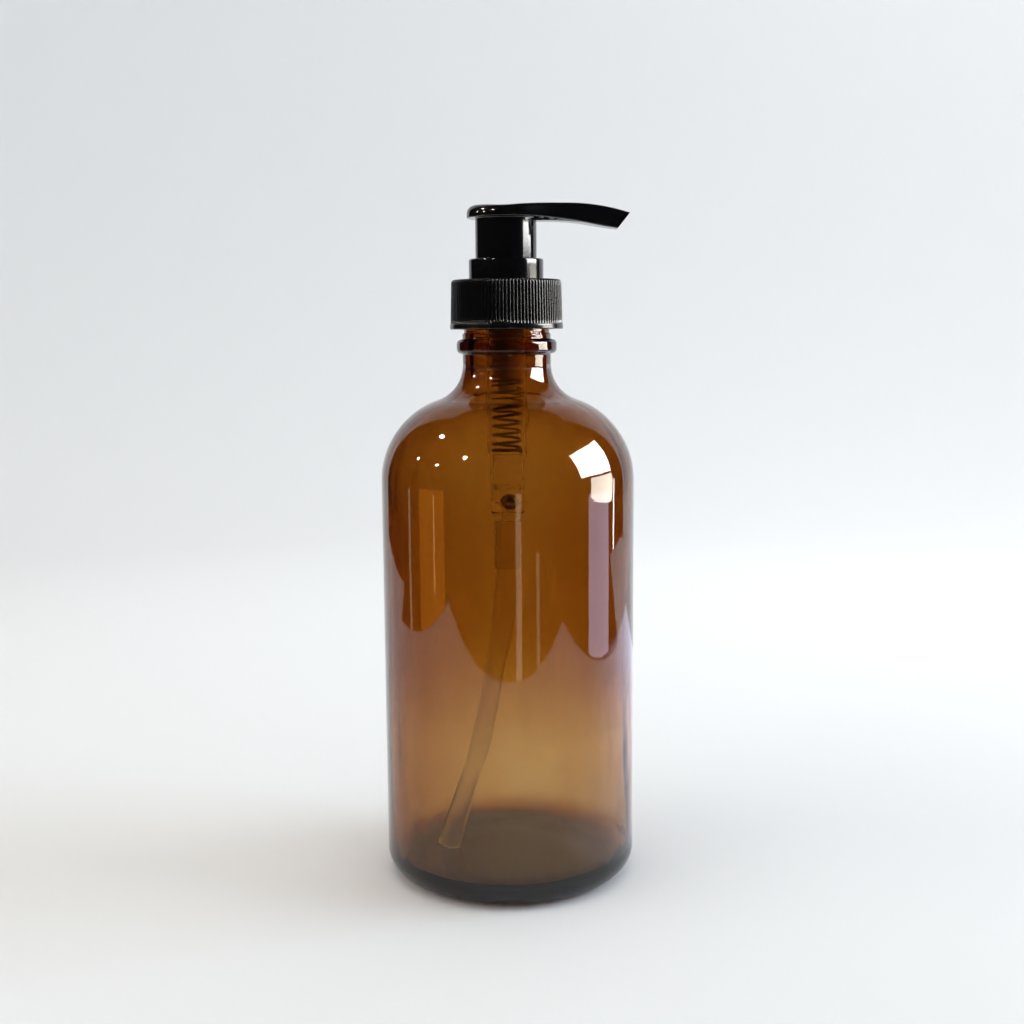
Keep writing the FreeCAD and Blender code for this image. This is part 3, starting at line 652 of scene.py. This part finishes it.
def build_actuator():
    build, rim = build_head()
    build_outlet(build, rim)
    head = add_mesh("pump_head", build, sharp=math.radians(35))
    finish_piece(head, HEAD_BLACK, "head", "head_black", "actuator")
    bottom, ceiling = low("actuator", "z"), 193.6
    # The hub's outside runs up into the thumb pad and closes there in a disc, out of sight.
    joined, closed = 195.45, 195.9
    bore, hub, disc = 7.7, 8.93, 9.5
    outline = [
        (bore, bottom + 1.0),
        (bore, bottom, 0.25),
        (hub, bottom, 0.3),
        (hub, joined, 0.5),
        (disc, joined),
        (disc, closed),
        (0, closed),
        (0, ceiling),
        (bore, ceiling, 0.5),
    ]
    skirt = lathe("pump_hub", [(rounded(outline, 1.5), None)], segments=192)
    finish_piece(skirt, HEAD_BLACK, "head", "head_black", "actuator")


build_actuator()

# ---------------------------------------------------------------- housing, tube, spring and ball

TUBE_RADIUS, TUBE_BORE = 3.05, 2.1
SOCKET_BOTTOM, SOCKET_TOP, SOCKET_RADIUS = 92.6, 106.6, 3.6
CHAMBER_BOTTOM, CHAMBER_TOP, CHAMBER_RADIUS, CHAMBER_BORE = 108.6, 124.0, 4.8, 4.0
INLET_RADIUS = 1.4
SEAT_BOTTOM, SEAT_TOP = 110.0, 112.6
CYLINDER_BOTTOM, CYLINDER_RADIUS, CYLINDER_BORE = 126.3, 6.0, 5.2
CUP_BOTTOM, CUP_FLOOR, CUP_RADIUS, CUP_BORE = 166.4, 167.6, 10.1, 9.4
FLANGE_RADIUS, FLANGE_THICKNESS = 12.3, 1.2
SPRING_SEAT, ROD_HEAD = 126.8, 149.2


def build_housing():
    flange = high("pump_housing", "z")
    outline = [
        (TUBE_RADIUS, SOCKET_BOTTOM, 0.15),
        (SOCKET_RADIUS, SOCKET_BOTTOM, 0.2),
        (SOCKET_RADIUS, CHAMBER_BOTTOM, 0.6),
        (CHAMBER_RADIUS, CHAMBER_BOTTOM, 0.7),
        (CHAMBER_RADIUS, CHAMBER_TOP, 1.5),
        (CYLINDER_RADIUS, CYLINDER_BOTTOM, 1.5),
        (CYLINDER_RADIUS, CUP_BOTTOM, 0.8),
        (CUP_RADIUS, CUP_BOTTOM, 0.8),
        (CUP_RADIUS, flange - FLANGE_THICKNESS, 0.1),
        (FLANGE_RADIUS, flange - FLANGE_THICKNESS, 0.1),
        (FLANGE_RADIUS, flange, 0.1),
        (CUP_BORE, flange, 0.3),
        (CUP_BORE, CUP_FLOOR, 0.5),
        (CYLINDER_BORE, CUP_FLOOR, 0.3),
        (CYLINDER_BORE, SPRING_SEAT, 0.3),
        (CHAMBER_BORE, SPRING_SEAT, 0.3),
        (CHAMBER_BORE, SEAT_TOP, 0.3),
        (INLET_RADIUS, SEAT_BOTTOM, 0.2),
        (INLET_RADIUS, SOCKET_TOP, 0.1),
        (TUBE_RADIUS, SOCKET_TOP, 0.1),
    ]
    points = rounded([(TUBE_RADIUS, 99.0), *outline, (TUBE_RADIUS, 99.5)], 4.0)
    piece = lathe("housing_shell", [(points, None)], segments=96)
    finish_piece(piece, HOUSING_PLASTIC, "pump_body", "natural_plastic", "pump_housing")


def build_dip_tube():
    """The tube's two gentle bends lie in the plane of the spout."""
    corners = [(0, SOCKET_TOP - 0.1), (0, 88.5, 60), (-7.0, 46.0, 140), (-19.1, 6.3)]
    route = rounded(corners, 4.0, math.radians(1))
    centres = [Vector((point.x, 0, point.y)) for point in route]
    frames = []
    for index in range(len(centres)):
        ahead = centres[min(index + 1, len(centres) - 1)] - centres[max(index - 1, 0)]
        ahead.normalize()
        side = Vector((0, 1, 0))
        frames.append((side, ahead.cross(side)))
    # A hair thinner than its socket, so that the two surfaces never coincide.
    sections = [circle_points(TUBE_RADIUS - 0.01, 64), circle_points(TUBE_BORE, 64)]
    piece = sweep("dip_tube_bent", centres, frames, sections)
    finish_piece(piece, TUBE_PLASTIC, "pump_body", "tube_plastic", "dip_tube")


def build_spring():
    """Open coils with a closed coil at each end."""
    wire, radius, gap = 0.45, 4.2, 0.05
    bottom, top = SPRING_SEAT + gap + wire, ROD_HEAD - gap - wire
    closed_rise = 2 * wire * 1.03
    coils, steps_per_turn = 7.0, 40
    turns = coils + 2
    steps = int(turns * steps_per_turn)
    centres, frames = [], []
    for index in range(steps + 1):
        turn = turns * index / steps
        middle = (turn - 1) / coils
        height = bottom + closed_rise * min(turn, 1)
        height += (top - bottom - 2 * closed_rise) * min(max(middle, 0), 1)
        height += closed_rise * max(turn - coils - 1, 0)
        angle = TURN * turn
        out = Vector((math.cos(angle), math.sin(angle), 0))
        centres.append(out * radius + Vector((0, 0, height)))
        frames.append((out, Vector((0, 0, 1))))
    piece = sweep("spring_coils", centres, frames, [circle_points(wire, 14)])
    finish_piece(piece, SPRING_STEEL, "pump_body", "spring_steel", "return_spring")
    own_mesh(piece)


def build_ball():
    radius, centre, steps = 2.38, 112.0, 40
    angles = [math.pi * index / steps for index in range(steps + 1)]
    arc = [(radius * math.sin(angle), centre - radius * math.cos(angle)) for angle in angles]
    piece = lathe("valve_ball_steel", [(arc, None)], segments=64)
    finish_piece(piece, BALL_STEEL, "valve_ball", "ball_steel", "inlet_ball")


build_housing()
build_dip_tube()
build_spring()
build_ball()

# ---------------------------------------------------------------- CAD nodes that stay

for node, material in (
    ("neck_gasket", GASKET_FOAM),
    ("stem_guide", WHITE_PLASTIC),
    ("ball_retainer", HOUSING_PLASTIC),
    ("valve_rod", WHITE_PLASTIC),
    ("piston", WHITE_PLASTIC),
    ("stem", WHITE_PLASTIC),
):
    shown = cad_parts[node]
    if not shown.material_slots:
        shown.data.materials.append(material)
    for material_slot in shown.material_slots:
        material_slot.material = material

# ---------------------------------------------------------------- stage and light

# Sides of the white table that the glass sees. Behind TABLE_BACK the white runs on to the wall.
TABLE_FRONT, TABLE_BACK, TABLE_LEFT, TABLE_RIGHT = -0.288, 0.13, -0.38, 0.31
BACK_LEFT, BACK_RIGHT = -0.50, 0.62
# A round wall stands round all of it, and the floor curves up into it.
STAGE_RADIUS = 1.25
STAGE_RISE = 0.55
STAGE_TOP = 1.9
# Where the wall that the glass sees starts and ends, in degrees about Z from the spout's side.
WALL_START, WALL_END = 35, 134
RISE_STEPS, WALL_STEPS = 16, 64


def stage_material():
    """Matt white paper."""
    material, tree, shader = new_material("stage_paper")
    shader.inputs["Base Color"].default_value = (0.83, 0.83, 0.835, 1)
    shader.inputs["Roughness"].default_value = 0.9
    shader.inputs["Specular IOR Level"].default_value = 0.2
    add_bump(tree, shader, add_noise(tree, 700.0, 3.0), 0.00006, 0.4)
    return material


def stage_mesh(name, build, material, seen_by_glass):
    """A piece of the stage, which reflections and refractions miss where the room is to look dark."""
    mesh = bpy.data.meshes.new(name)
    build.to_mesh(mesh)
    build.free()
    mesh.shade_smooth()
    mesh.materials.append(material)
    stage = bpy.data.objects.new(name, mesh)
    bpy.context.scene.collection.objects.link(stage)
    stage.visible_glossy = seen_by_glass
    stage.visible_transmission = seen_by_glass


def floor_patch(name, x_low, x_high, y_low, y_high, material, seen_by_glass):
    build = bmesh.new()
    corners = [(x_low, y_low, 0), (x_high, y_low, 0), (x_high, y_high, 0), (x_low, y_high, 0)]
    build.faces.new([build.verts.new(corner) for corner in corners])
    stage_mesh(name, build, material, seen_by_glass)


def cove(name, start, end, material, seen_by_glass):
    """Part of a round wall that the floor curves up into, between two angles about Z."""
    build = bmesh.new()
    profile = [(STAGE_RADIUS - STAGE_RISE, 0)]
    for index in range(1, RISE_STEPS + 1):
        angle = math.pi / 2 * index / RISE_STEPS
        profile.append((
            STAGE_RADIUS - STAGE_RISE + STAGE_RISE * math.sin(angle),
            STAGE_RISE - STAGE_RISE * math.cos(angle),
        ))
    profile.append((STAGE_RADIUS, STAGE_TOP))
    columns = []
    for index in range(WALL_STEPS + 1):
        angle = start + (end - start) * index / WALL_STEPS
        columns.append([
            build.verts.new((radius * math.cos(angle), radius * math.sin(angle), height))
            for radius, height in profile
        ])
    for first, second in zip(columns, columns[1:]):
        for index in range(len(profile) - 1):
            build.faces.new([first[index], second[index], second[index + 1], first[index + 1]])
    bmesh.ops.recalc_face_normals(build, faces=build.faces)
    stage_mesh(name, build, material, seen_by_glass)


def build_stage():
    """White table and cove. In front of the table and beside it, the glass sees a dark room."""
    paper = stage_material()
    far = STAGE_RADIUS
    floor_patch("table", TABLE_LEFT, TABLE_RIGHT, TABLE_FRONT, TABLE_BACK, paper, True)
    floor_patch("floor_back", BACK_LEFT, BACK_RIGHT, TABLE_BACK, far, paper, True)
    cove("cove_back", math.radians(WALL_START), math.radians(WALL_END), paper, True)
    cove("cove_front", math.radians(WALL_END), math.radians(WALL_START + 360), paper, False)
    floor_patch("floor_front", -far, far, -far, TABLE_FRONT, paper, False)
    floor_patch("floor_left", -far, TABLE_LEFT, TABLE_FRONT, TABLE_BACK, paper, False)
    floor_patch("floor_right", TABLE_RIGHT, far, TABLE_FRONT, TABLE_BACK, paper, False)
    floor_patch("floor_back_left", -far, BACK_LEFT, TABLE_BACK, far, paper, False)
    floor_patch("floor_back_right", BACK_RIGHT, far, TABLE_BACK, far, paper, False)


# The colour and strength of the even light, and of the dim room.
EVEN_COLOUR, EVEN_STRENGTH = (1.0, 0.97, 0.89, 1), 0.40
DIM_COLOUR, DIM_STRENGTH = (0.5, 0.48, 0.6, 1), 0.03


def add_world():
    """Even light for everything but reflections and refractions, which see a dim room."""
    world = bpy.data.worlds.new("room")
    bpy.context.scene.world = world
    world.use_nodes = True
    tree = world.node_tree
    even = tree.nodes["Background"]
    even.inputs["Color"].default_value = EVEN_COLOUR
    even.inputs["Strength"].default_value = EVEN_STRENGTH
    dim = tree.nodes.new("ShaderNodeBackground")
    dim.inputs["Color"].default_value = DIM_COLOUR
    dim.inputs["Strength"].default_value = DIM_STRENGTH
    path = tree.nodes.new("ShaderNodeLightPath")
    mix = tree.nodes.new("ShaderNodeMixShader")
    tree.links.new(path.outputs["Is Glossy Ray"], mix.inputs["Fac"])
    tree.links.new(even.outputs["Background"], mix.inputs[1])
    tree.links.new(dim.outputs["Background"], mix.inputs[2])
    tree.links.new(mix.outputs["Shader"], tree.nodes["World Output"].inputs["Surface"])


LIGHT_DISTANCE = 1.1
LIGHT_CENTRE = Vector((0, 0, 0.12))

# Soft lights: azimuth (0 is the camera's side, 90 the spout's), elevation, width, height, radiance
# and colour. White paper in the scene's light has a radiance near 1.
SOFT_LIGHTS = {
    "window_light": (90, 24, 0.80, 0.66, 1.9, (0.69, 0.84, 1.0)),
    "left_fill": (-70, 30, 0.9, 0.9, 1.15, (1.0, 0.96, 0.87)),
    "top_fill": (0, 88, 1.2, 1.2, 0.50, (1.0, 0.97, 0.90)),
}

# Narrower beams, in degrees, leave the wall behind darker towards its top and its left.
NARROW_BEAMS = {"window_light": 110, "top_fill": 100}

# The wall behind is brighter on the window's side.
WALL_LIGHT = ((0.40, 0.35, 0.80), Vector((0, 1, -0.4)), 0.7, 0.7, 2.7, (0.88, 0.93, 1.0))

# The table beside the window is brighter and bluer than the rest. Its stacked cards share the far and
# back sides, and each card's near and front sides lie a step further in, so that its edge is soft.
GLOW_CARDS, GLOW_STEP, GLOW_LIFT = 5, 0.04, 0.001
GLOW_NEAR, GLOW_FAR, GLOW_FRONT, GLOW_BACK, GLOW_HEIGHT = 0.045, 0.31, -0.06, 0.26, 0.003
GLOW_RADIANCE, GLOW_COLOUR = 0.3, (0.74, 0.72, 1.0)

# Things in the room that show only as reflections, in the same terms as the soft lights.
REFLECTED_THINGS = {
    "window_pane": (87, 21, 0.76, 0.54, 26.0, (1.0, 1.0, 1.0)),
    "window_sill": (92, -1, 0.54, 0.24, 14.0, (1.0, 0.94, 0.80)),
    "window_wall": (88, -11, 0.48, 0.19, 3.6, (0.80, 0.74, 1.0)),
    "window_curtain": (108, -6, 0.035, 0.24, 14.0, (1.0, 0.97, 0.9)),
    "warm_corner": (-71, -9, 0.52, 0.21, 1.9, (1.0, 0.30, 0.02)),
    "warm_strip": (-68, -9, 0.03, 0.12, 3.0, (1.0, 0.6, 0.3)),
    "left_frame": (-97, -10, 0.05, 0.22, 1.5, (1.0, 0.80, 0.6)),
    "narrow_strip": (9, -11, 0.09, 0.27, 2.2, (1.0, 0.80, 0.55)),
    "second_strip": (26, -13, 0.05, 0.12, 1.6, (1.0, 0.80, 0.55)),
    "high_lamp": (-94, 48, 0.08, 0.05, 160.0, (1.0, 0.93, 0.8)),
    "middle_lamp": (-44, 36, 0.06, 0.06, 220.0, (1.0, 0.93, 0.8)),
    "low_lamp": (-69, 22, 0.045, 0.045, 200.0, (1.0, 0.9, 0.7)),
    "far_lamp": (-94, 22, 0.04, 0.04, 200.0, (1.0, 0.9, 0.7)),
}


def add_area(name, place, facing, width, height, radiance, colour):
    """A rectangular light that shines along a direction."""
    data = bpy.data.lights.new(name, "AREA")
    data.shape = "RECTANGLE"
    data.size, data.size_y = width, height
    data.energy = radiance * math.pi * width * height
    data.color = colour
    lamp = bpy.data.objects.new(name, data)
    lamp.location = place
    lamp.rotation_mode = "QUATERNION"
    lamp.rotation_quaternion = facing.to_track_quat("-Z", "Y")
    lamp.visible_camera = False
    bpy.context.scene.collection.objects.link(lamp)
    return lamp


def add_round_light(name, azimuth, elevation, *settings):
    """A light at an azimuth and elevation, which faces the bottle's shoulder."""
    turn, rise = math.radians(azimuth), math.radians(elevation)
    away = Vector((math.sin(turn) * math.cos(rise), -math.cos(turn) * math.cos(rise), math.sin(rise)))
    return add_area(name, LIGHT_CENTRE + away * LIGHT_DISTANCE, -away, *settings)


def show_in_reflections_only(lamp):
    lamp.visible_diffuse = False
    lamp.visible_transmission = False


def add_table_glow():
    """Cards that lie just above the table and show only as reflections."""
    up = Vector((0, 0, 1))
    for step in range(GLOW_CARDS):
        near, front = GLOW_NEAR + GLOW_STEP * step, GLOW_FRONT + GLOW_STEP * step
        width, depth = GLOW_FAR - near, GLOW_BACK - front
        place = ((near + GLOW_FAR) / 2, (front + GLOW_BACK) / 2, GLOW_HEIGHT + GLOW_LIFT * step)
        glow = add_area(f"table_glow_{step}", place, up, width, depth, GLOW_RADIANCE, GLOW_COLOUR)
        show_in_reflections_only(glow)


def add_lights():
    for name, settings in SOFT_LIGHTS.items():
        lamp = add_round_light(name, *settings)
        lamp.visible_glossy = False
    for name, spread in NARROW_BEAMS.items():
        bpy.data.lights[name].spread = math.radians(spread)
    for name, settings in REFLECTED_THINGS.items():
        show_in_reflections_only(add_round_light(name, *settings))
    lamp = add_area("wall_light", *WALL_LIGHT)
    lamp.visible_glossy = False
    add_table_glow()


build_stage()
add_world()
add_lights()
bpy.context.scene.view_settings.view_transform = "Standard"
# Light crosses the bottle's, the housing's and the tube's walls, and they are one inside another.
LIGHT_BOUNCES = 28
bpy.context.scene.cycles.max_bounces = LIGHT_BOUNCES
bpy.context.scene.cycles.transmission_bounces = LIGHT_BOUNCES
